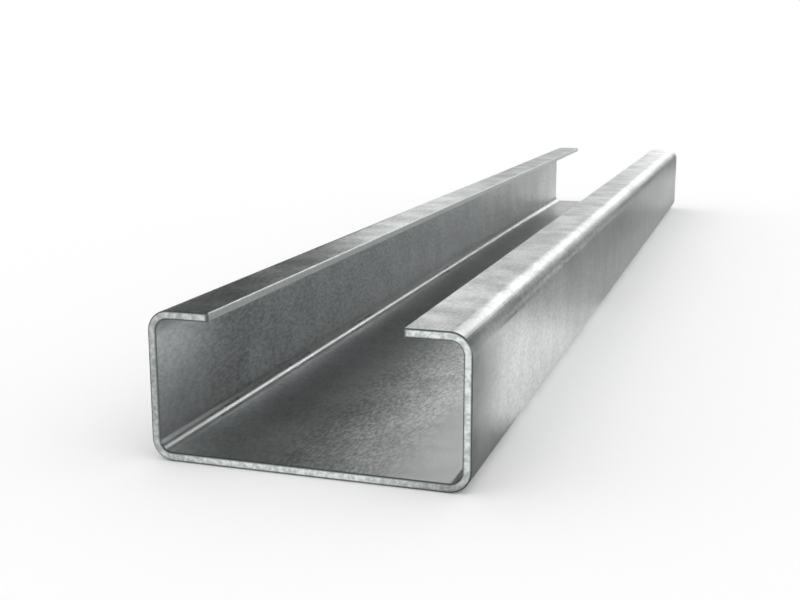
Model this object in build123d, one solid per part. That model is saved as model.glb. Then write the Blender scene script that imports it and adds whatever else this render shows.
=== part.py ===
from build123d import *
import os

# Lipped channel: one length of galvanised strip, cold roll-formed and cut square.
# It lies on its web with its mouth up. X runs across the web, Y along the length, Z up.
# The origin is the centre of the web's underside. Sizes are in millimetres.

# Section, measured over the outside of the sheet
web_width = 75.0
flange_height = 35.0
lip_depth = 15.0

# Sheet and its four bends, which all have one inside radius
gauge = 2.0
inside_bend_radius = 3.0

# Stock length between the two cuts
stock_length = 500.0

# Rounding of the sheared edges, at both cut ends and along the slit edges of the lips
sheared_edge_radius = 0.35


def outer_line():
    """Outer face of the section, from the slit edge of one lip round to that of the other."""
    side = web_width / 2
    slit_edge = side - lip_depth
    return FilletPolyline(
        (-slit_edge, flange_height),
        (-side, flange_height),
        (-side, 0),
        (side, 0),
        (side, flange_height),
        (slit_edge, flange_height),
        radius=inside_bend_radius + gauge,
    )


def folded_sheet():
    """The sheet lies inside its outer line, so it keeps the full gauge round each bend."""
    with BuildPart() as sheet:
        with BuildSketch(Plane.XZ):
            with BuildLine():
                outer_line()
                offset(amount=gauge, side=Side.LEFT)
            make_face()
        extrude(amount=stock_length / 2, both=True)
    return sheet.part


def sheared_faces(sheet):
    """The cut ends, and the slit edges: of all faces across the web, the two nearest its middle."""
    cut_ends = sheet.faces().filter_by(Axis.Y)
    slit_edges = sheet.faces().filter_by(Axis.X).sort_by(lambda face: abs(face.center().X))[:2]
    return cut_ends + slit_edges


def lipped_channel():
    """The folded sheet with the sharpness taken off wherever the steel was sheared."""
    sheet = folded_sheet()
    return fillet(sheared_faces(sheet).edges(), radius=sheared_edge_radius)


os.makedirs("parts", exist_ok=True)
channel = lipped_channel()
channel.label = "lipped_channel"
export_step(channel, "parts/lipped_channel.step")
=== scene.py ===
# %% [markdown]
# A lipped steel channel, rolled from zinc-coated strip.
# The real one starts as a flat strip, and pairs of rollers fold it a little at a time.
# The solid model is loaded first, as a fixed frame: it gives every size used below, and
# nothing here moves it or makes it larger.

# %% Load the frame
import math
import bmesh
import bpy
from mathutils import Matrix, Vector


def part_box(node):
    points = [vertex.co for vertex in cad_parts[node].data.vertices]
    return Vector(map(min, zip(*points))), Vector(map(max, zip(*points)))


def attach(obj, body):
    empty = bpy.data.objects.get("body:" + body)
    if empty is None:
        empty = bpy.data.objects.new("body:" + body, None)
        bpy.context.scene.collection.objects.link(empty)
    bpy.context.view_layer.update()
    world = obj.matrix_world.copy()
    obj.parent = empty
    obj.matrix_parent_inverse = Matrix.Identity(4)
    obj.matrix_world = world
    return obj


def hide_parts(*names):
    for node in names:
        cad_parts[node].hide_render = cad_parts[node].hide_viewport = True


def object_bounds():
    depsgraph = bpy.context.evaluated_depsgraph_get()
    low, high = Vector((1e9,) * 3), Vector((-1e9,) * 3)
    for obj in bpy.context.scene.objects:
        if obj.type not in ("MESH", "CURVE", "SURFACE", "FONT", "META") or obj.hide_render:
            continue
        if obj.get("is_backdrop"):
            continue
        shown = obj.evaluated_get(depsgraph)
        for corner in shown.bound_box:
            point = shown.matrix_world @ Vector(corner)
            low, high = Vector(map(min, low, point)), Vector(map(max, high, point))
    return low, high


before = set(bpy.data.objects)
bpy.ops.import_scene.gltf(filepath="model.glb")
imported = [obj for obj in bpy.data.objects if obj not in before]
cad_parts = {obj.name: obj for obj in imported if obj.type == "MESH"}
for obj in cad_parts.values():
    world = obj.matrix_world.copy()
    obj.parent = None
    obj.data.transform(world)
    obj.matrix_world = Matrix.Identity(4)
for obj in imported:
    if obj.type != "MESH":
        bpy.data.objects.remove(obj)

NODE = "lipped_channel"
cad_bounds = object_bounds()
print("solid model's box", cad_bounds)

# %% [markdown]
# Sizes of the section, in metres.
# They could be typed in again, but then two files would have to agree. Here they are read
# from the solid's own corners, so a change of the solid changes the dressed part too.
# The cut's edges are rounded, so the corners in the cut face lie one edge radius inside
# each skin of the web. The lowest of them gives that radius, and the lowest and the highest
# together give the gauge.

# %% Read the section's sizes from the solid
low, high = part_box(NODE)
corners = [vertex.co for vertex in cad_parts[NODE].data.vertices]
TOUCH = 1e-6

web_width = high.x - low.x
height = high.z - low.z
length = high.y - low.y

lip_top = [co for co in corners if co.z > high.z - TOUCH]
outer_radius = web_width / 2 - max(abs(co.x) for co in lip_top)
slit_edge = min(abs(co.x) for co in corners if co.z > high.z / 2)

cut_face = [co for co in corners if co.y < low.y + TOUCH]
web_flat = web_width - 2 * outer_radius
web_cut = [co.z for co in cut_face if abs(co.x) < web_flat / 2 + TOUCH and co.z < high.z / 2]
edge_radius = min(web_cut) - low.z
gauge = min(web_cut) + max(web_cut) - 2 * low.z
print("web, height, length", round(web_width, 5), round(height, 5), round(length, 5))
print("gauge, radius, edge radius", round(gauge, 5), round(outer_radius, 5), round(edge_radius, 5))

# %% [markdown]
# One helper for all node trees.
# Geometry and material trees are built the same way: a node, its settings, and for each
# input either a plain value or a link from another node's output. The two kinds of node
# used most get a short name.

# %% A function that adds a node
MATH = "ShaderNodeMath"
VECTOR_MATH = "ShaderNodeVectorMath"


def add_node(tree, kind, inputs=None, **settings):
    node = tree.nodes.new(kind)
    for name, value in settings.items():
        setattr(node, name, value)
    for socket, value in (inputs or {}).items():
        if isinstance(value, bpy.types.NodeSocket):
            tree.links.new(value, node.inputs[socket])
        else:
            node.inputs[socket].default_value = value
    return node


print("short names stand for", MATH, "and", VECTOR_MATH)

# %% [markdown]
# The flat strip.
# The mill slits the sheet to the developed width: the length of the section measured along
# the middle of its thickness. Each bend uses a quarter circle of that middle line.
# A grid, a Solidify modifier for the gauge and a Bevel modifier for the worn corners of the
# sheared edges copy that order, and stay easy to change. The grid is fine across the strip,
# where it will bend, and coarse along it, where it stays straight.

# %% Make the flat strip
middle_radius = outer_radius - gauge / 2
bend_length = middle_radius * math.pi / 2
flange_flat = height - 2 * outer_radius
lip_flat = web_width / 2 - slit_edge - outer_radius
strip_width = web_flat + 2 * flange_flat + 2 * lip_flat + 4 * bend_length

COLUMN = 0.0005
ROW = 0.0125
columns = round(strip_width / COLUMN)
rows = round(length / ROW)
strip_mesh = bpy.data.meshes.new("strip")
blank = bmesh.new()
bmesh.ops.create_grid(blank, x_segments=columns, y_segments=rows, size=0.5)
bmesh.ops.transform(blank, matrix=Matrix.Diagonal((strip_width, length, 1, 1)), verts=blank.verts)
blank.to_mesh(strip_mesh)
blank.free()
strip = bpy.data.objects.new("strip", strip_mesh)
bpy.context.scene.collection.objects.link(strip)

solidify = strip.modifiers.new("gauge", "SOLIDIFY")
solidify.thickness = gauge
solidify.offset = 0
bevel = strip.modifiers.new("sheared_edges", "BEVEL")
bevel.width = edge_radius
bevel.segments = 4
bevel.limit_method = "ANGLE"
print("developed width", round(strip_width, 5), "columns and rows", columns, rows)

# %% [markdown]
# Roll forming, as a Geometry Nodes tree.
# The section could be drawn and extruded, but then the zinc's pattern would not know how
# the sheet was folded. Here a guide line runs through the section's six corners, its
# corners are rounded, and each point of the flat strip moves to its own distance along that
# line. The tree's inputs have the names that a drawing of the section would use.
# One of them is the lip crown. The last rollers leave each lip slightly arched, and its
# reflection runs from dark to light across it. The arch is under a millimetre high, so it
# is drawn in the shading alone, and the part keeps the solid's size.

# %% Start the roll-forming tree and name its sizes
LIP_CROWN = math.radians(12)
rolls = bpy.data.node_groups.new("roll_forming", "GeometryNodeTree")
rolls.is_modifier = True
for direction in ("INPUT", "OUTPUT"):
    rolls.interface.new_socket("Geometry", in_out=direction, socket_type="NodeSocketGeometry")
roll_sizes = {
    "Web width": web_width,
    "Flange height": height,
    "Lip depth": web_width / 2 - slit_edge,
    "Gauge": gauge,
    "Outside radius": outer_radius,
    "Length": length,
    "Edge radius": edge_radius,
    "Lip crown": LIP_CROWN,
}
sockets = {name: "NodeSocketFloat" for name in roll_sizes}
sockets["Coated sheet"] = "NodeSocketMaterial"
sockets["Sheared edge"] = "NodeSocketMaterial"
socket_ids = {}
for name, kind in sockets.items():
    socket = rolls.interface.new_socket(name, in_out="INPUT", socket_type=kind)
    socket_ids[name] = socket.identifier
size = add_node(rolls, "NodeGroupInput").outputs
print("named inputs", list(socket_ids))

# %% [markdown]
# The six corners of the guide line.
# The line follows the middle of the sheet's thickness, so its corners lie half a gauge
# inside the section's outline. Only the right half is worked out, and the left half mirrors
# it.

# %% Work out the six corners
half_web = add_node(rolls, MATH, {0: size["Web width"], 1: 0.5}, operation="MULTIPLY").outputs[0]
half_gauge = add_node(rolls, MATH, {0: size["Gauge"], 1: 0.5}, operation="MULTIPLY").outputs[0]
differences = {
    "side": (half_web, half_gauge),
    "slit": (half_web, size["Lip depth"]),
    "top": (size["Flange height"], half_gauge),
    "bend": (size["Outside radius"], half_gauge),
}
guide_size = {}
for name, (whole, part) in differences.items():
    guide_size[name] = add_node(rolls, MATH, {0: whole, 1: part}, operation="SUBTRACT").outputs[0]

foot = (guide_size["side"], half_gauge)
shoulder = (guide_size["side"], guide_size["top"])
lip_end = (guide_size["slit"], guide_size["top"])
right_corners = [
    add_node(rolls, "ShaderNodeCombineXYZ", {"X": sideways, "Z": up}).outputs[0]
    for sideways, up in (foot, shoulder, lip_end)
]
left_corners = [
    add_node(rolls, VECTOR_MATH, {0: corner, 1: (-1, 1, 1)}, operation="MULTIPLY").outputs[0]
    for corner in reversed(right_corners)
]
guide_corners = left_corners + right_corners
print("corners on the guide line", len(guide_corners))

# %% [markdown]
# The guide line itself.
# A mesh line of six points is moved to those corners and filleted, as a drawing would be.
# It is then divided into tenths of a millimetre, so that a distance along it is
# accurate in the bends too.

# %% Draw the guide line through the corners
corner_places = add_node(rolls, "GeometryNodeIndexSwitch", data_type="VECTOR")
while len(corner_places.index_switch_items) < len(guide_corners):
    corner_places.index_switch_items.new()
point_number = add_node(rolls, "GeometryNodeInputIndex").outputs[0]
rolls.links.new(point_number, corner_places.inputs["Index"])
for number, corner in enumerate(guide_corners):
    rolls.links.new(corner, corner_places.inputs[str(number)])

GUIDE_STEP = 0.0001
BEND_POINTS = 32
line = add_node(rolls, "GeometryNodeMeshLine", {"Count": len(guide_corners)}).outputs[0]
line = add_node(rolls, "GeometryNodeMeshToCurve", {"Mesh": line}).outputs[0]
moved = {"Geometry": line, "Position": corner_places.outputs[0]}
line = add_node(rolls, "GeometryNodeSetPosition", moved).outputs[0]
rounding = {"Curve": line, "Radius": guide_size["bend"], "Count": BEND_POINTS}
line = add_node(rolls, "GeometryNodeFilletCurve", rounding, mode="POLY").outputs[0]
spacing = {"Curve": line, "Length": GUIDE_STEP}
guide = add_node(rolls, "GeometryNodeResampleCurve", spacing, mode="LENGTH").outputs[0]
print("steps along the guide line, about", round(strip_width / GUIDE_STEP))

# %% [markdown]
# Each point's place on the flat strip.
# It is stored before anything moves, under the name strip, so that patterns can follow the
# sheet round the bends. Its X becomes a distance along the guide line, counted from the
# left lip's slit edge.

# %% Store the flat place and find the distance along the line
flat_place = add_node(rolls, "GeometryNodeInputPosition").outputs[0]
stored = add_node(
    rolls, "GeometryNodeStoreNamedAttribute",
    {"Geometry": size["Geometry"], "Name": "strip", "Value": flat_place},
    data_type="FLOAT_VECTOR", domain="POINT",
)
flat = add_node(
    rolls, "GeometryNodeInputNamedAttribute", {"Name": "strip"}, data_type="FLOAT_VECTOR",
).outputs[0]
flat_xyz = add_node(rolls, "ShaderNodeSeparateXYZ", {0: flat}).outputs
developed = add_node(rolls, "GeometryNodeCurveLength", {0: guide}).outputs[0]
half_strip = add_node(rolls, MATH, {0: developed, 1: 0.5}, operation="MULTIPLY").outputs[0]
along = add_node(rolls, MATH, {0: flat_xyz["X"], 1: half_strip}, operation="ADD").outputs[0]
print("the flat place is stored as", stored.inputs["Name"].default_value)

# %% [markdown]
# How the sheet lies at that distance.
# The guide line gives a place and a direction there, and the direction gives the turn of
# the sheet. The line's direction a little before and a little after tells how bent the
# sheet is. That is stored too, from 0 on a flat to 1 in a bend, because rollers polish the
# inside of a bend.

# %% Find the turn and the bend
BEND_REACH = 0.0015
stations = []
for reach in (-BEND_REACH, 0.0, BEND_REACH):
    distance = add_node(rolls, MATH, {0: along, 1: reach}, operation="ADD").outputs[0]
    sampling = {"Curves": guide, "Length": distance}
    stations.append(add_node(rolls, "GeometryNodeSampleCurve", sampling, mode="LENGTH").outputs)
before, here, after = stations
turn = add_node(
    rolls, "FunctionNodeAxesToRotation",
    {"Primary Axis": here["Tangent"], "Secondary Axis": (0, 1, 0)},
    primary_axis="X", secondary_axis="Y",
).outputs[0]

directions = {0: before["Tangent"], 1: after["Tangent"]}
agree = add_node(rolls, VECTOR_MATH, directions, operation="DOT_PRODUCT").outputs["Value"]
full_bend = math.cos(2 * BEND_REACH / middle_radius)
bending = {"Value": agree, "From Min": 1.0, "From Max": full_bend}
bent = add_node(rolls, "ShaderNodeMapRange", bending).outputs[0]
stored = add_node(
    rolls, "GeometryNodeStoreNamedAttribute",
    {"Geometry": stored.outputs[0], "Name": "bend", "Value": bent},
    data_type="FLOAT", domain="POINT",
)
print("in a bend the two directions agree by", round(full_bend, 3))

# %% [markdown]
# Folding.
# X is used up by the distance along the line. What is left of the flat place, the length
# and the depth in the sheet, turns with the line and is added to the place on it.

# %% Move the strip onto the guide line
beside = add_node(rolls, VECTOR_MATH, {0: flat, 1: (0, 1, 1)}, operation="MULTIPLY").outputs[0]
turning = {"Vector": beside, "Rotation": turn}
beside = add_node(rolls, "FunctionNodeRotateVector", turning).outputs[0]
folded = add_node(rolls, VECTOR_MATH, {0: here["Position"], 1: beside}, operation="ADD").outputs[0]
moved = {"Geometry": stored.outputs[0], "Position": folded}
rolled = add_node(rolls, "GeometryNodeSetPosition", moved).outputs[0]
print("nodes up to the folding", len(rolls.nodes))

# %% [markdown]
# Exact shading normals.
# Where a flat meets a bend, averaged normals would bend the flat's reflection too. On the
# flat strip the true normal is known: it points to the surface from the nearest point of
# the strip's core, which is the strip less its edge radius. It is turned with the strip
# further down.

# %% Work out the true normal on the flat strip
half_length = add_node(rolls, MATH, {0: size["Length"], 1: 0.5}, operation="MULTIPLY").outputs[0]
half_extent = {"X": half_strip, "Y": half_length, "Z": half_gauge}
half_extent = add_node(rolls, "ShaderNodeCombineXYZ", half_extent).outputs[0]
less_edge = {0: half_extent, 1: size["Edge radius"]}
core = add_node(rolls, VECTOR_MATH, less_edge, operation="SUBTRACT").outputs[0]
minus_core = add_node(rolls, VECTOR_MATH, {0: core, "Scale": -1.0}, operation="SCALE").outputs[0]
nearest = add_node(rolls, VECTOR_MATH, {0: flat, 1: core}, operation="MINIMUM").outputs[0]
nearest = add_node(rolls, VECTOR_MATH, {0: nearest, 1: minus_core}, operation="MAXIMUM").outputs[0]
facing = add_node(rolls, VECTOR_MATH, {0: flat, 1: nearest}, operation="SUBTRACT").outputs[0]
facing = add_node(rolls, VECTOR_MATH, {0: facing}, operation="NORMALIZE").outputs[0]
print("nodes up to the flat normal", len(rolls.nodes))

# %% [markdown]
# The crowned lips.
# The normal starts to lean outwards in the upper bend, leans most where the lip's flat
# starts, and leans the other way by as much at the slit, as on a shallow arch. The lesser
# of two straight slopes gives that, and the left lip leans the opposite way to the right
# one. At the end the normal turns with the strip.

# %% Lean the normals over the lips
lip_stop = {0: size["Lip depth"], 1: size["Outside radius"]}
lip_stop = add_node(rolls, MATH, lip_stop, operation="SUBTRACT").outputs[0]
lip_start = add_node(rolls, MATH, {0: half_strip, 1: lip_stop}, operation="SUBTRACT").outputs[0]
arc = {0: guide_size["bend"], 1: math.pi / 2}
arc = add_node(rolls, MATH, arc, operation="MULTIPLY").outputs[0]
bend_start = add_node(rolls, MATH, {0: lip_start, 1: arc}, operation="SUBTRACT").outputs[0]
crown = size["Lip crown"]
minus_crown = add_node(rolls, MATH, {0: crown, 1: -1.0}, operation="MULTIPLY").outputs[0]
from_middle = add_node(rolls, MATH, {0: flat_xyz["X"]}, operation="ABSOLUTE").outputs[0]

slopes = []
for start, stop, lean_from, lean_to in (
    (bend_start, lip_start, 0.0, crown),
    (lip_start, half_strip, crown, minus_crown),
):
    slope = {
        "Value": from_middle, "From Min": start, "From Max": stop,
        "To Min": lean_from, "To Max": lean_to,
    }
    slopes.append(add_node(rolls, "ShaderNodeMapRange", slope).outputs[0])
lean = add_node(rolls, MATH, {0: slopes[0], 1: slopes[1]}, operation="MINIMUM").outputs[0]
side_sign = add_node(rolls, MATH, {0: flat_xyz["X"]}, operation="SIGN").outputs[0]
lean = add_node(rolls, MATH, {0: lean, 1: side_sign}, operation="MULTIPLY").outputs[0]
leaning = {"Vector": facing, "Angle": lean}
facing = add_node(rolls, "ShaderNodeVectorRotate", leaning, rotation_type="Y_AXIS").outputs[0]
turning = {"Vector": facing, "Rotation": turn}
facing = add_node(rolls, "FunctionNodeRotateVector", turning).outputs[0]
print("lean at the lip's flat and at the slit", round(LIP_CROWN, 3), round(-LIP_CROWN, 3))

# %% [markdown]
# Two finishes on one piece.
# The zinc is on both skins of the sheet. Whatever lies between the skins was opened by the
# shear or the slitter, so the depth in the flat sheet tells the two apart.

# %% Set the normals, the materials and the output
solid = add_node(rolls, "GeometryNodeSetMeshNormal", mode="FREE", domain="POINT")
rolls.links.new(rolled, solid.inputs["Mesh"])
rolls.links.new(facing, solid.inputs["Custom Normal"])
depth = add_node(rolls, MATH, {0: flat_xyz["Z"]}, operation="ABSOLUTE").outputs[0]
skin_depth = add_node(rolls, MATH, {0: half_gauge, 1: TOUCH}, operation="SUBTRACT").outputs[0]
sheared = add_node(rolls, MATH, {0: depth, 1: skin_depth}, operation="LESS_THAN").outputs[0]
whole = add_node(rolls, "GeometryNodeRealizeInstances", {0: solid.outputs[0]}).outputs[0]
painting = {"Geometry": whole, "Material": size["Coated sheet"]}
coated = add_node(rolls, "GeometryNodeSetMaterial", painting).outputs[0]
painting = {"Geometry": coated, "Selection": sheared, "Material": size["Sheared edge"]}
finished = add_node(rolls, "GeometryNodeSetMaterial", painting).outputs[0]
add_node(rolls, "NodeGroupOutput", {0: finished})
print("nodes in the roll-forming tree", len(rolls.nodes))

# %% [markdown]
# Colours.
# They are written as sRGB hex values, the way a colour picker shows them. Shaders work
# with linear light, so one function turns them.

# %% A function that turns hex colours linear
def linear(hex_colour):
    channels = [int(hex_colour[i:i + 2], 16) / 255 for i in (1, 3, 5)]
    light = [c / 12.92 if c <= 0.04045 else ((c + 0.055) / 1.055) ** 2.4 for c in channels]
    return (*light, 1.0)


print("a middle grey in linear light", round(linear("#808080")[0], 3))

# %% [markdown]
# The finish: hot-dip galvanised sheet with minimised spangle.
# The strip ran through a bath of molten zinc, air knives wiped it to an even coat, and the
# coat froze as small crystals, which rollers then pressed flatter. To the eye it is a pale
# metal that shows no clear mirror picture: each crystal tilts the reflection a little, and
# the sheet is mottled where a bright and a dark reflection meet.
# The patterns are laid out on the flat strip, in millimetres, by the place that the forming
# tree stored. So they run round the bends, as on the real part.

# %% Start the galvanised sheet's material
MILLIMETRES = 1000.0


def new_material(name):
    material = bpy.data.materials.new(name)
    material.use_nodes = True
    material.node_tree.nodes.clear()
    return material, material.node_tree


def strip_millimetres(tree):
    place = add_node(tree, "ShaderNodeAttribute", attribute_name="strip").outputs["Vector"]
    enlarging = {0: place, "Scale": MILLIMETRES}
    return add_node(tree, VECTOR_MATH, enlarging, operation="SCALE").outputs[0]


zinc, tree = new_material("galvanised_sheet")
place = strip_millimetres(tree)
print("started material", zinc.name)

# %% [markdown]
# Places on the strip, in millimetres.
# The distance from the strip's middle line tells web, bend, flange and lip apart, and the
# distance from the near cut tells the near end from the far one. Both are worked out from
# the section's sizes above. Two more distances lead away from the grainy band beside the
# web's middle and from the middle of the lower bends.

# %% Galvanised sheet: measure the place
web_stop_mm = MILLIMETRES * web_flat / 2
flange_start_mm = web_stop_mm + MILLIMETRES * bend_length
flange_stop_mm = flange_start_mm + MILLIMETRES * flange_flat
lip_start_mm = flange_stop_mm + MILLIMETRES * bend_length
lower_bend_mm = (web_stop_mm + flange_start_mm) / 2
end_mm = MILLIMETRES * length / 2
GRAINY_BAND = 6.0

across = add_node(tree, "ShaderNodeSeparateXYZ", {0: place}).outputs
from_middle = add_node(tree, MATH, {0: across["X"]}, operation="ABSOLUTE").outputs[0]
from_cut = add_node(tree, MATH, {0: across["Y"], 1: end_mm}, operation="ADD").outputs[0]
from_band = {0: across["X"], 1: GRAINY_BAND}
from_band = add_node(tree, MATH, from_band, operation="SUBTRACT").outputs[0]
from_band = add_node(tree, MATH, {0: from_band}, operation="ABSOLUTE").outputs[0]
from_bend = {0: from_middle, 1: lower_bend_mm}
from_bend = add_node(tree, MATH, from_bend, operation="SUBTRACT").outputs[0]
from_bend = add_node(tree, MATH, {0: from_bend}, operation="ABSOLUTE").outputs[0]
print("the web's flat stops at", round(web_stop_mm, 2), "mm from the middle")
print("the flange's flat stops at", round(flange_stop_mm, 2), "mm")

# %% [markdown]
# Zones where the sheet looks different.
# Real coated strip isn't even. A band near the middle of the web is the grainiest. Within
# about four centimetres of the near cut the sheet was clamped and handled, so it is duller
# there. That zone also carries painted light and shade: its inside is painted lighter, as
# light coming in at the open end, and its outside darker, as painted shade in its reflection.
# The rollers polished the inside of the bends, left short marks across the foot of the upper
# bend, and made the lower bend duller along a line near the cut. That line is painted pale,
# as a painted highlight.
# Each zone is a soft step along one of the distances, rising from its first value to its
# second. Nothing ends at a sharp line, because handling never does.

# %% Galvanised sheet: zones
steps = {
    "off_band": (from_band, 8.0, 20.0),
    "unfolded": (from_middle, web_stop_mm + 1.0, web_stop_mm - 2.0),
    "folded": (from_middle, web_stop_mm - 2.0, web_stop_mm + 1.0),
    "up_flange": (from_middle, flange_start_mm - 3.0, flange_stop_mm - 6.0),
    "marks_start": (from_middle, flange_stop_mm - 0.2, flange_stop_mm + 1.4),
    "marks_stop": (from_middle, flange_stop_mm + 3.4, flange_stop_mm + 2.2),
    "on_lip": (from_middle, flange_stop_mm + 2.2, lip_start_mm + 1.0),
    "off_lip": (from_middle, lip_start_mm + 1.0, flange_stop_mm + 2.2),
    "near_bend": (from_bend, 10.0, 4.0),
    "rub_start": (from_middle, flange_start_mm - 2.4, flange_start_mm - 1.5),
    "rub_stop": (from_middle, flange_start_mm - 0.1, flange_start_mm - 1.1),
    "at_cut": (from_cut, 18.0, 1.0),
    "near_cut": (from_cut, 42.0, 8.0),
    "near_eighth": (from_cut, 65.0, 20.0),
    "near_quarter": (from_cut, 120.0, 30.0),
    "near_half": (from_cut, 300.0, 60.0),
    "far": (from_cut, 60.0, 420.0),
    "left": (across["X"], -20.0, -50.0),
    "right": (across["X"], 5.0, 25.0),
}
field = {}
for name, (measure, start, stop) in steps.items():
    step = {"Value": measure, "From Min": start, "From Max": stop}
    step = add_node(tree, "ShaderNodeMapRange", step, interpolation_type="SMOOTHSTEP")
    field[name] = step.outputs[0]
print("soft steps", len(field))

# %% [markdown]
# Inside and outside, bent and flat.
# The depth in the sheet is below zero on the skin that becomes the outside. How bent the
# sheet is comes from the attribute that the forming tree stored.

# %% Galvanised sheet: skins and bends
for name, comparison in (("outside", "LESS_THAN"), ("inside", "GREATER_THAN")):
    field[name] = add_node(tree, MATH, {0: across["Z"], 1: 0.0}, operation=comparison).outputs[0]
field["bent"] = add_node(tree, "ShaderNodeAttribute", attribute_name="bend").outputs["Fac"]
field["flat"] = add_node(tree, MATH, {0: 1.0, 1: field["bent"]}, operation="SUBTRACT").outputs[0]
print("fields with the skins and the bends", len(field))

# %% [markdown]
# Zones where several fields meet.
# The painted shade at the cut, for example, lies on the outside and off the lips. The fields
# are multiplied, which gives 1 where all of them are 1, and a soft border wherever one of
# them fades.

# %% Galvanised sheet: overlaps
overlaps = {
    "inner_bend": ("bent", "inside"),
    "smooth": ("near_bend", "inside"),
    "roller_marks": ("marks_start", "marks_stop", "outside"),
    "near_flange": ("near_cut", "folded", "off_lip"),
    "far_outside": ("far", "outside"),
    "near_left": ("near_half", "left"),
    "near_right": ("near_quarter", "right", "unfolded"),
    # painted shade: a darker colour on the outside near the cut
    "scuffed": ("at_cut", "outside", "off_lip"),
    "dull": ("near_cut", "flat", "up_flange", "off_lip"),
    # painted light: a lighter colour on the inside near the cut
    "dull_inside": ("dull", "inside"),
    # a rougher line in the lower bend near the cut, whose colour is also a painted highlight
    "rubbed": ("rub_start", "rub_stop", "near_eighth", "inside"),
}
for name, (first, *others) in overlaps.items():
    overlap = field[first]
    for other in others:
        both = {0: overlap, 1: field[other]}
        overlap = add_node(tree, MATH, both, operation="MULTIPLY").outputs[0]
    field[name] = overlap
print("overlaps", list(overlaps))

# %% [markdown]
# The zinc's patterns and their real sizes.
# Minimised crystals are half a millimetre to a millimetre across, and the pressing rollers
# drew them out along the strip to almost three times that. They are drawn at 0.8 mm. Wiping
# leaves patches about a centimetre across, and the coat's thickness drifts over a few
# centimetres. The sheet itself is slightly wavy. The marks at the upper bend are short
# strokes, about half a millimetre wide and three times as long, drawn out across the strip.
# Each noise has a place, a size in millimetres, a detail and a roughness. A place that is
# scaled down along one direction draws the pattern out that way.

# %% Galvanised sheet: patterns
CRYSTAL = 0.8
PATCH = 12.0
CLOUD = 28.0
WAVE = 14.0
MARK = 0.6
DRAWN_OUT = 0.35
stretched = {}
for name, scale in (("along", (1.0, DRAWN_OUT, 1.0)), ("across", (DRAWN_OUT, 1.0, 1.0))):
    scaling = {0: place, 1: scale}
    stretched[name] = add_node(tree, VECTOR_MATH, scaling, operation="MULTIPLY").outputs[0]
noises = {
    "crystal": (stretched["along"], CRYSTAL, 3.0, 0.8),
    "patch": (place, PATCH, 2.0, 0.5),
    "cloud": (place, CLOUD, 3.0, 0.55),
    "wave": (place, WAVE, 1.0, 0.5),
    "mark": (stretched["across"], MARK, 2.0, 0.6),
}
relief = {}
for name, (where, size_mm, detail, roughness) in noises.items():
    pattern = {"Vector": where, "Scale": 1 / size_mm, "Detail": detail, "Roughness": roughness}
    relief[name] = add_node(tree, "ShaderNodeTexNoise", pattern).outputs["Fac"]
print("noises", list(relief))

# %% [markdown]
# Spreading the patterns.
# A noise keeps near its middle value. Each one that changes the colour is spread to run
# from minus a half to plus a half, by a soft step that it rarely goes beyond: a pattern
# that does looks like two flat paints.

# %% Galvanised sheet: spread the patterns
for name, start in (("crystal", 0.30), ("patch", 0.30), ("cloud", 0.36), ("mark", 0.30)):
    spread = {
        "Value": relief[name], "From Min": start, "From Max": 1 - start,
        "To Min": -0.5, "To Max": 0.5,
    }
    spread = add_node(tree, "ShaderNodeMapRange", spread, interpolation_type="SMOOTHSTEP")
    field[name] = spread.outputs[0]
print("fields with the patterns", len(field))

# %% [markdown]
# How strong each pattern is, and where.
# An amount starts from a plain value and gets a share of some zones added or taken away.
# The first three say how much a pattern changes the colour, the fourth how much of the
# relief shows, and the last two set the gloss: the roughness of the bright crystals, and
# the share of dull skin between them. A little of the grain is left everywhere.

# %% Galvanised sheet: amounts
amounts = {
    "crystal_share": (1.05, {
        "off_band": -0.62, "inner_bend": -0.4, "near_flange": -0.32,
        "far_outside": -0.30, "near_left": 0.25, "near_right": -0.45,
    }),
    "patch_share": (0.12, {"on_lip": 0.4}),
    "mark_share": (0.0, {"roller_marks": 0.35}),
    "relief_share": (1.0, {"smooth": -0.95}),
    "roughness": (0.32, {"cloud": 0.04, "inner_bend": -0.03}),
    "skin_share": (0.16, {"cloud": 0.08, "dull": 0.7, "up_flange": 0.06, "rubbed": 0.8}),
}
for name, (start, parts) in amounts.items():
    amount = start
    for part, weight in parts.items():
        share = {0: field[part], 1: weight, 2: amount}
        amount = add_node(tree, MATH, share, operation="MULTIPLY_ADD").outputs[0]
    field[name] = amount
LEAST_GRAIN = 0.05
least = {0: field["crystal_share"], 1: LEAST_GRAIN}
field["crystal_share"] = add_node(tree, MATH, least, operation="MAXIMUM").outputs[0]
print("amounts", list(amounts))

# %% [markdown]
# The zinc's colour.
# Zinc that has lain for a while is an almost neutral pale grey. The patterns and zones move
# the colour between a darker and a lighter tone of it. Three zones near the near cut are
# painted light and shade rather than the zinc's own colour: painted shade outside, a lighter
# painted patch inside, and a painted highlight line in the lower bend. Metal reflects with its
# own colour, so this is also what makes the mottle show in the highlights.

# %% Galvanised sheet: colour
MIDDLE_TONE = 0.5
CLOUD_SHARE = 0.10
tone = MIDDLE_TONE
for pattern, share in (
    ("crystal", field["crystal_share"]),
    ("patch", field["patch_share"]),
    ("cloud", CLOUD_SHARE),
    ("mark", field["mark_share"]),
    # painted shade: darker outside near the cut
    ("scuffed", -0.4),
    # painted light: lighter inside near the cut
    ("dull_inside", 0.4),
    # painted highlight: a pale line along the lower bend near the cut
    ("rubbed", 0.5),
):
    tone = {0: field[pattern], 1: share, 2: tone}
    tone = add_node(tree, MATH, tone, operation="MULTIPLY_ADD").outputs[0]
shades = {"Factor": tone, "A": linear("#9b9d9d"), "B": linear("#e4e7e7")}
colour = add_node(tree, "ShaderNodeMix", shades, data_type="RGBA").outputs[2]
print("nodes up to the zinc's colour", len(tree.nodes))

# %% [markdown]
# The zinc's relief.
# The sheet's waves are about a tenth of a millimetre high, and the crystals and marks a few
# hundredths. The real crystals are lower still, but would not show at that height. A
# stronger bump than this would break the reflections into specks. The bumps are layered,
# each on the one before.

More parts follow.
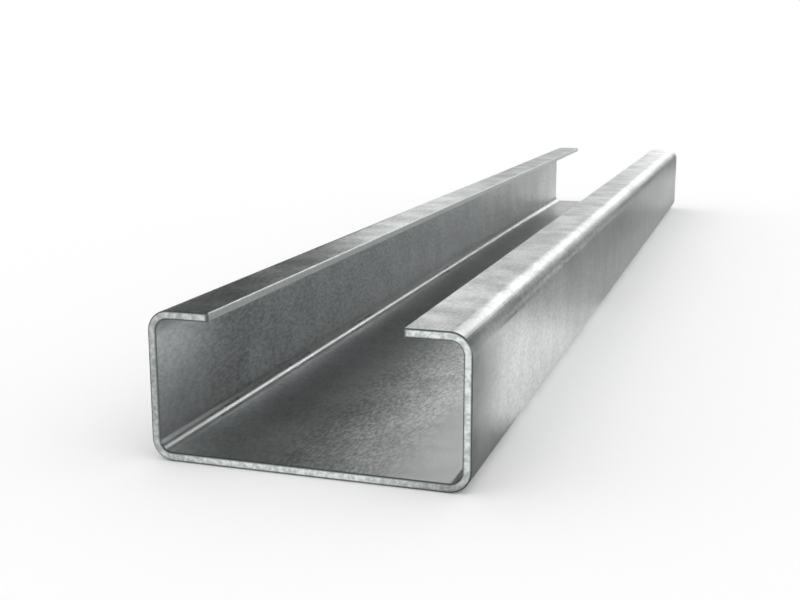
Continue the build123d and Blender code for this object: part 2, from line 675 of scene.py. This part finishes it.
# %% Galvanised sheet: relief
WAVE_HEIGHT = 0.0003
CRYSTAL_HEIGHT = 0.00004
MARK_HEIGHT = 0.00006
waves = {"Height": relief["wave"], "Strength": field["relief_share"], "Distance": WAVE_HEIGHT}
bump = add_node(tree, "ShaderNodeBump", waves).outputs[0]
for height_field, strength, depth_m in (
    (relief["crystal"], field["relief_share"], CRYSTAL_HEIGHT),
    (field["mark"], field["roller_marks"], MARK_HEIGHT),
):
    layer = {"Height": height_field, "Strength": strength, "Distance": depth_m, "Normal": bump}
    bump = add_node(tree, "ShaderNodeBump", layer).outputs[0]
print("full swing of the crystals in mm", MILLIMETRES * CRYSTAL_HEIGHT)

# %% [markdown]
# The zinc's gloss.
# Two metallic shaders are mixed, because the coat has bright crystal faces and a duller
# oxide skin, and one roughness can't show both.

# %% Galvanised sheet: gloss and output
SKIN_ROUGHNESS = 0.8
metal = {"Base Color": colour, "Metallic": 1.0, "Normal": bump}
crystal_faces = {**metal, "Roughness": field["roughness"]}
crystal_faces = add_node(tree, "ShaderNodeBsdfPrincipled", crystal_faces).outputs[0]
oxide_skin = {**metal, "Roughness": SKIN_ROUGHNESS}
oxide_skin = add_node(tree, "ShaderNodeBsdfPrincipled", oxide_skin).outputs[0]
coat = {0: field["skin_share"], 1: crystal_faces, 2: oxide_skin}
coat = add_node(tree, "ShaderNodeMixShader", coat).outputs[0]
add_node(tree, "ShaderNodeOutputMaterial", {"Surface": coat})
print("nodes in the zinc's tree", len(tree.nodes))

# %% [markdown]
# The sheared edge: carbon steel, cut cold, with zinc dragged over it.
# The shear tears most of the thickness, so the cut is pale, matt and mottled by torn steel
# about a millimetre across. Where the blade rolled each skin over, the rounded edge of the
# cut falls into shade, and that is painted as a thin dark line along the cut. The corner
# where the cut meets a slit edge gets painted shade too. So this finish measures how near a
# place is to the cut, to a skin and to a corner.

# %% Sheared edge: place and zones
TEAR = 1.1
edge, tree = new_material("sheared_edge")
place = strip_millimetres(tree)
across = add_node(tree, "ShaderNodeSeparateXYZ", {0: place}).outputs
side_mm = add_node(tree, MATH, {0: across["X"]}, operation="ABSOLUTE").outputs[0]
along_mm = add_node(tree, MATH, {0: across["Y"]}, operation="ABSOLUTE").outputs[0]
depth_mm = add_node(tree, MATH, {0: across["Z"]}, operation="ABSOLUTE").outputs[0]
to_corner = add_node(tree, MATH, {0: side_mm, 1: along_mm}, operation="ADD").outputs[0]
tears = {"Vector": place, "Scale": 1 / TEAR, "Detail": 3.0, "Roughness": 0.6}
tears = add_node(tree, "ShaderNodeTexNoise", tears).outputs["Fac"]

skin_mm = MILLIMETRES * gauge / 2
corner_mm = MILLIMETRES * strip_width / 2 + end_mm
steps = {
    "on_cut": (along_mm, end_mm - 1.0, end_mm - 0.4, 0.0, 1.0),
    "arris": (depth_mm, skin_mm - 0.55, skin_mm - 0.12, 0.0, 1.0),
    "corner": (to_corner, corner_mm - 0.9, corner_mm - 0.3, 0.0, 1.0),
    "tear": (tears, 0.34, 0.66, -0.5, 0.5),
}
for name, (value, start, stop, least, most) in steps.items():
    step = {"Value": value, "From Min": start, "From Max": stop, "To Min": least, "To Max": most}
    step = add_node(tree, "ShaderNodeMapRange", step, interpolation_type="SMOOTHSTEP")
    steps[name] = step.outputs[0]
print("half the gauge and half the length in mm", round(skin_mm, 2), round(end_mm, 1))

# %% [markdown]
# The sheared edge's colour and relief.
# The slit edges of the lips were cut before forming and smoothed by the rollers, so they
# keep only a quarter of the mottle and the relief, and get no painted shade along the skins.

# %% Sheared edge: shader
TEAR_HEIGHT = 0.00006
SLIT_SHARE = 0.25
STEEL_ROUGHNESS = 0.45
torn = {0: steps["on_cut"], 1: 1 - SLIT_SHARE, 2: SLIT_SHARE}
torn = add_node(tree, MATH, torn, operation="MULTIPLY_ADD").outputs[0]
tone = {0: steps["tear"], 1: torn, 2: MIDDLE_TONE}
tone = add_node(tree, MATH, tone, operation="MULTIPLY_ADD").outputs[0]
shades = {"Factor": tone, "A": linear("#c6cdcb"), "B": linear("#f5f9f7")}
face = add_node(tree, "ShaderNodeMix", shades, data_type="RGBA").outputs[2]
# painted shade: a dark line along each rounded arris of the cut and at the slit corners
painted_edge_shade = {0: steps["arris"], 1: steps["on_cut"]}
painted_edge_shade = add_node(tree, MATH, painted_edge_shade, operation="MULTIPLY").outputs[0]
painted_edge_shade = {0: painted_edge_shade, 1: steps["corner"]}
painted_edge_shade = add_node(tree, MATH, painted_edge_shade, operation="MAXIMUM").outputs[0]
shades = {"Factor": painted_edge_shade, "A": face, "B": linear("#6f7676")}
colour = add_node(tree, "ShaderNodeMix", shades, data_type="RGBA").outputs[2]
bump = {"Height": tears, "Strength": torn, "Distance": TEAR_HEIGHT}
bump = add_node(tree, "ShaderNodeBump", bump).outputs[0]
steel = {"Base Color": colour, "Metallic": 1.0, "Roughness": STEEL_ROUGHNESS, "Normal": bump}
steel = add_node(tree, "ShaderNodeBsdfPrincipled", steel).outputs[0]
add_node(tree, "ShaderNodeOutputMaterial", {"Surface": steel})
print("nodes in the sheared edge's tree", len(tree.nodes))

# %% [markdown]
# Running the strip through the rolls.
# The modifier gets its sizes and materials by the inputs' identifiers, before the tree runs
# for the first time. Its result is then kept as a plain mesh: the strip with its modifiers
# has done its work, and a part for a library should not need a node tree to open.

# %% Run the strip through the rolls
forming = strip.modifiers.new("roll_forming", "NODES")
forming.node_group = rolls
for name, value in roll_sizes.items():
    forming[socket_ids[name]] = value
forming[socket_ids["Coated sheet"]] = zinc
forming[socket_ids["Sheared edge"]] = edge

bpy.context.view_layer.update()
evaluated = strip.evaluated_get(bpy.context.evaluated_depsgraph_get())
channel_mesh = bpy.data.meshes.new_from_object(evaluated)
channel = bpy.data.objects.new("channel", channel_mesh)
bpy.context.scene.collection.objects.link(channel)
bpy.data.objects.remove(strip)

measured = bmesh.new()
measured.from_mesh(channel_mesh)
print("faces", len(measured.faces), "volume in cm3", round(measured.calc_volume() * 1e6, 3))
print("open edges", sum(1 for side in measured.edges if len(side.link_faces) != 2))
measured.free()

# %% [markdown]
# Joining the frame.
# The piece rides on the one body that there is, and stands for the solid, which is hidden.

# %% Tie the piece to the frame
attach(channel, "root")
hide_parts(NODE)
print("piece", channel.name, "stands for", NODE)

# %% [markdown]
# The camera.
# The photo was taken from low down, close to the near end, with the channel running away to
# the right. Its place and turn, and the focal length in pixels, were found by matching the
# corners of both ends of the solid to the photo.

# %% Camera
IMAGE_WIDTH = 800
FOCAL_PIXELS = 1158.6
SENSOR_WIDTH = 36.0
CAMERA_PLACE = (0.09340, -0.47293, 0.08985)
TURN_LEFT = 17.797
LOOK_DOWN = 11.803
camera_data = bpy.data.cameras.new("camera")
camera_data.sensor_width = SENSOR_WIDTH
camera_data.lens = FOCAL_PIXELS * SENSOR_WIDTH / IMAGE_WIDTH
camera_data.clip_start = 0.01
camera_data.clip_end = 100
camera = bpy.data.objects.new("camera", camera_data)
camera.location = CAMERA_PLACE
camera.rotation_euler = (math.radians(90 - LOOK_DOWN), 0, math.radians(TURN_LEFT))
bpy.context.scene.collection.objects.link(camera)
bpy.context.scene.camera = camera
print("focal length in mm", round(camera_data.lens, 2))

# %% [markdown]
# A white floor.
# The photo's ground is plain white. A white floor gives that, and the soft shadow on it
# shows where the channel lies. The floor is a tenth of a millimetre lower than the web, so
# that the two don't coincide.

# %% White floor
FLOOR_SIZE = 40
FLOOR_GAP = 0.0001
WHITE = linear("#ffffff")
floor_mesh = bpy.data.meshes.new("floor")
ground = bmesh.new()
bmesh.ops.create_grid(ground, x_segments=1, y_segments=1, size=FLOOR_SIZE)
ground.to_mesh(floor_mesh)
ground.free()
floor_mesh.transform(Matrix.Translation((0, 0, -FLOOR_GAP)))
floor = bpy.data.objects.new("floor", floor_mesh)
bpy.context.scene.collection.objects.link(floor)
floor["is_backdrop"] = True
paint, tree = new_material("white_paint")
matt = add_node(tree, "ShaderNodeBsdfDiffuse", {"Color": WHITE}).outputs[0]
add_node(tree, "ShaderNodeOutputMaterial", {"Surface": matt})
floor_mesh.materials.append(paint)
print("floor from the middle to each side, in metres", FLOOR_SIZE)

# %% [markdown]
# A white room.
# A white world of strength 1 lights the floor to plain white, without extra lamps.

# %% White surroundings
world = bpy.data.worlds.new("studio")
bpy.context.scene.world = world
world.use_nodes = True
tree = world.node_tree
tree.nodes.clear()
sky = add_node(tree, "ShaderNodeBackground", {"Color": WHITE, "Strength": 1.0}).outputs[0]
add_node(tree, "ShaderNodeOutputWorld", {"Surface": sky})
print("world", world.name)

# %% [markdown]
# Cards for the metal to reflect.
# Metal shows its surroundings, and in a room that is white all round it looks like paper.
# A product photographer puts bright boxes and black cloths around it instead. These cards
# do the same. Their paper glows by the attribute tone, and is there only as far as the
# attribute cover says.

# %% Paper of the cards
card_paper, tree = new_material("card_paper")
tone = add_node(tree, "ShaderNodeAttribute", attribute_name="tone").outputs["Fac"]
cover = add_node(tree, "ShaderNodeAttribute", attribute_name="cover").outputs["Fac"]
glow = add_node(tree, "ShaderNodeEmission", {"Color": WHITE, "Strength": tone}).outputs[0]
clear = add_node(tree, "ShaderNodeBsdfTransparent").outputs[0]
paper = add_node(tree, "ShaderNodeMixShader", {0: cover, 1: clear, 2: glow}).outputs[0]
add_node(tree, "ShaderNodeOutputMaterial", {"Surface": paper})
print("nodes in the card paper", len(tree.nodes))

# %% [markdown]
# A card's soft border.
# A card is even inside and fades out over a border, because a hard one would draw a line
# on the metal. So along each direction its points start half a border before the card's
# edge, and stop half a border after the opposite one.

# %% A function that spaces a card's points
def soft_range(start, stop, softness, steps):
    first = start + softness / 2
    span = stop - start - softness
    inside = [first + span * i / steps for i in range(steps + 1)]
    return [start - softness / 2] + inside + [stop + softness / 2]


print("a card from 0 to 10 with a border of 2", soft_range(0, 10, 2, 1))

# %% [markdown]
# Making a card.
# It is a mesh of squares between those points, and a function given to it says where each
# point goes. Cover is 0 on the outermost points and 1 on all others. Only reflections see a
# card: it casts no shadow, and the floor's light and the picture's ground stay as they are.

# %% A function that makes a card
def card(name, tone, columns, rows, placed):
    mesh = bpy.data.meshes.new(name)
    points = [placed(a, b) for b in rows for a in columns]
    wide = len(columns)
    faces = [
        (j * wide + i, j * wide + i + 1, (j + 1) * wide + i + 1, (j + 1) * wide + i)
        for j in range(len(rows) - 1) for i in range(wide - 1)
    ]
    mesh.from_pydata(points, [], faces)
    cover = mesh.attributes.new("cover", "FLOAT", "POINT")
    toned = mesh.attributes.new("tone", "FLOAT", "POINT")
    for j in range(len(rows)):
        for i in range(wide):
            inside = 0 < i < wide - 1 and 0 < j < len(rows) - 1
            cover.data[j * wide + i].value = 1.0 if inside else 0.0
            toned.data[j * wide + i].value = tone
    mesh.materials.append(card_paper)
    piece = bpy.data.objects.new(name, mesh)
    bpy.context.scene.collection.objects.link(piece)
    piece.visible_camera = False
    piece.visible_diffuse = False
    piece.visible_shadow = False
    piece.visible_transmission = False
    piece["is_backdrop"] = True


def on_dome(radius):
    def placed(azimuth, elevation):
        turned, risen = math.radians(azimuth), math.radians(elevation)
        level = radius * math.cos(risen)
        return (level * math.sin(turned), level * math.cos(turned), radius * math.sin(risen))
    return placed


def on_floor(z):
    def placed(x, y):
        return (x, y, z)
    return placed


print("azimuth 0, elevation 0, a metre away:", on_dome(1.0)(0, 0))

# %% [markdown]
# Cards around the channel.
# They hang on domes about it, each card on a slightly larger dome than the card before, so
# the first is the nearest and hides those behind it. A card's first number is its tone, 0
# for black cloth, 1 for the white of the room, and more for a lit box. Then come its
# azimuths and elevations in degrees, with 0 behind the far end and 90 to the right, and the
# width of its soft border.
# The low view makes the metal show mostly what stands behind the far end. So the boxes
# there light the lips, the web's right side and the inner bends, and the flags between them
# draw the dark web and the dark near part of the left lip. The boxes at the sides light the
# bends and flanges. The roof and the upper left box are for someone who looks down on it.

# %% Hang the cards around the channel
DOME_RADIUS = 5.0
DOME_STEP = 0.25
ZENITH = 90
dome_cards = {
    "roof": (0.6, (-180, 180), (68, 90), 10),
    "upper_left_box": (0.5, (-180, -50), (30, 90), 8),
    "left_flag": (0.0, (-45, -21), (-10, 55), 3),
    "centre_flag": (0.3, (-15, -5), (-10, 15), 3),
    "back_softbox": (3.5, (-10, 15), (18, 30), 4),
    "upper_right_strip": (3.0, (10, 22), (22, 34), 4),
    "upper_left_strip": (1.2, (-10, 7), (8, 28), 4),
    "back_strip": (3.5, (-15, 7), (-10, 16), 4),
    "left_strip": (2.0, (-25, -17), (-10, 13), 4),
    "right_flag": (0.0, (7, 35), (-10, 25), 4),
    "right_box": (3.5, (47, 140), (-10, 18), 6),
    "left_softbox": (3.0, (-85, -41), (11, 29), 6),
    "left_low_flag": (0.0, (-135, -45), (-10, 40), 6),
    "right_high_flag": (0.0, (15, 160), (10, 90), 8),
    "ceiling": (0.03, (-180, 180), (30, 90), 10),
}
NARROW_STEPS = 6
WIDE_STEPS = 24
WIDE_CARD = 90
radius = DOME_RADIUS
for name, (tone, azimuths, elevations, softness) in dome_cards.items():
    steps = NARROW_STEPS if azimuths[1] - azimuths[0] < WIDE_CARD else WIDE_STEPS
    columns = soft_range(*azimuths, softness, steps)
    rows = [min(row, ZENITH) for row in soft_range(*elevations, softness, NARROW_STEPS)]
    card(name, tone, columns, rows, on_dome(radius))
    radius += DOME_STEP
print("cards", len(dome_cards), "on domes up to", radius - DOME_STEP)

# %% [markdown]
# Cloths on the floor.
# The right flange stands upright and mirrors the floor beside it. On plain white it would
# be white all along, but the photo shows it bright near the front, darker further back and
# lighter again at the far end. Cloths and reflectors on the floor give that. They lie
# within the gap under the web, again nearest first, with their places in metres.

# %% Lay the cloths and reflectors on the floor
floor_cards = {
    "near_end_cloth": (0.2, (0.025, 0.12), (-0.26, -0.20), 0.02),
    "reflector": (1.4, (0.05, 0.10), (-0.20, -0.08), 0.03),
    "far_reflector": (1.1, (0.06, 0.10), (0.25, 0.50), 0.03),
    "near_cloth": (0.7, (0.02, 0.075), (-0.23, -0.05), 0.02),
    "side_cloth": (0.4, (0.02, 0.065), (-0.10, 0.38), 0.03),
    "outer_cloth": (0.0, (0.065, 0.30), (-1.0, 3.0), 0.03),
    "left_end_cloth": (0.2, (-0.60, -0.04), (-0.38, -0.20), 0.04),
}
CLOTH_STEP = FLOOR_GAP / 10
depth = CLOTH_STEP / 2
for name, (tone, xs, ys, softness) in floor_cards.items():
    columns = soft_range(*xs, softness, 1)
    rows = soft_range(*ys, softness, 1)
    card(name, tone, columns, rows, on_floor(-depth))
    depth += CLOTH_STEP
print("cloths and reflectors", len(floor_cards))

# %% [markdown]
# The plain view transform.
# Standard shows a colour as it is written, so hex values and picture agree.

# %% View transform
bpy.context.scene.view_settings.view_transform = "Standard"
print("view transform", bpy.context.scene.view_settings.view_transform)

# %% [markdown]
# Closing the frame.
# The dressed part must be as large as the solid, so both boxes are gathered side by side.

# %% Gather both boxes
visual_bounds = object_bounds()
boxes = {"cad": cad_bounds, "visual": visual_bounds}
boxes = {name: [list(corner) for corner in box] for name, box in boxes.items()}
print("dressed part's box", visual_bounds)
